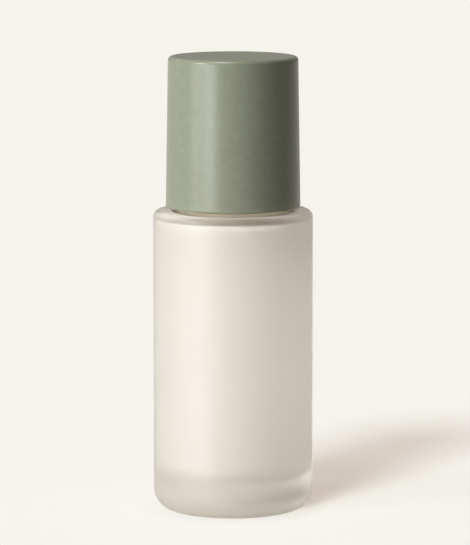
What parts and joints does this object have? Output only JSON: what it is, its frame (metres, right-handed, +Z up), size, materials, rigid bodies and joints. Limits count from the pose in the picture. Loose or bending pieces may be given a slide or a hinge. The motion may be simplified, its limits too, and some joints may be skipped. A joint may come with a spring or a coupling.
{
  "type": "skincare bottle",
  "caption": "Round frosted glass bottle with rounded heel, lotion pump, screw collar in a metal sleeve and a tall matte pull-off overcap.",
  "frame": {"origin": "middle of the bottle's foot, on the surface that it stands on", "axes": "+Z up along the bottle's axis; -Y is the front, where the spout points and from where the picture is taken"},
  "size_m": [0.04, 0.04, 0.1144],
  "materials": {
    "frosted_glass": "acid-etched satin",
    "painted_sage": "soft-touch lacquer with a faint fine grain",
    "moulded_sage": "moulded satin",
    "natural_polypropylene": "moulded, uncoloured",
    "satin_aluminium": "satin anodised",
    "soft_gasket": "foamed polyethylene",
    "piston_polyethylene": "moulded, waxy",
    "spring_steel": "drawn stainless wire and ground ball",
    "clear_tube": "extruded translucent tube"
  },
  "bodies": {
    "bottle": {"bottle": "frosted_glass"},
    "pump_core": {"neck_gasket": "soft_gasket", "pump_housing": "natural_polypropylene", "stem_guide": "natural_polypropylene", "dip_tube": "clear_tube", "pump_spring": "spring_steel"},
    "collar": {"screw_collar": "moulded_sage", "collar_sleeve": "satin_aluminium"},
    "overcap": {"overcap_liner": "natural_polypropylene", "overcap_shell": "painted_sage"},
    "stem": {"stem": "natural_polypropylene", "valve_plug": "natural_polypropylene"},
    "piston": {"piston": "piston_polyethylene"},
    "ball": {"ball_valve": "spring_steel"},
    "head": {"actuator": "moulded_sage", "actuator_cover": "moulded_sage"}
  },
  "joints": [
    {"name": "pump_lift", "type": "slide", "parent": "bottle", "child": "pump_core", "axis": [0, 0, 1], "range_m": [0, 0.00398]},
    {"name": "collar_turn", "type": "hinge", "parent": "pump_core", "child": "collar", "pos_m": [0, 0, 0.077], "axis": [0, 0, 1], "range_deg": [0, 450]},
    {"name": "overcap_pull", "type": "slide", "parent": "collar", "child": "overcap", "axis": [0, 0, 1], "range_m": [0, 0.045]},
    {"name": "head_press", "type": "slide", "parent": "pump_core", "child": "stem", "axis": [0, 0, -1], "range_m": [0, 0.0045], "stiffness_N_per_m": 1500, "deforming": ["pump_spring"]},
    {"name": "head_swivel", "type": "hinge", "parent": "stem", "child": "head", "pos_m": [0, 0, 0.1015], "axis": [0, 0, 1], "continuous": true},
    {"name": "piston_float", "type": "slide", "parent": "stem", "child": "piston", "axis": [0, 0, 1], "range_m": [0, 0.0008]},
    {"name": "ball_lift", "type": "slide", "parent": "pump_core", "child": "ball", "axis": [0, 0, 1], "range_m": [0, 0.001]}
  ],
  "couplings": [
    {"joint": "pump_lift", "follows": "collar_turn", "m_per_rad": 0.00050532}
  ]
}
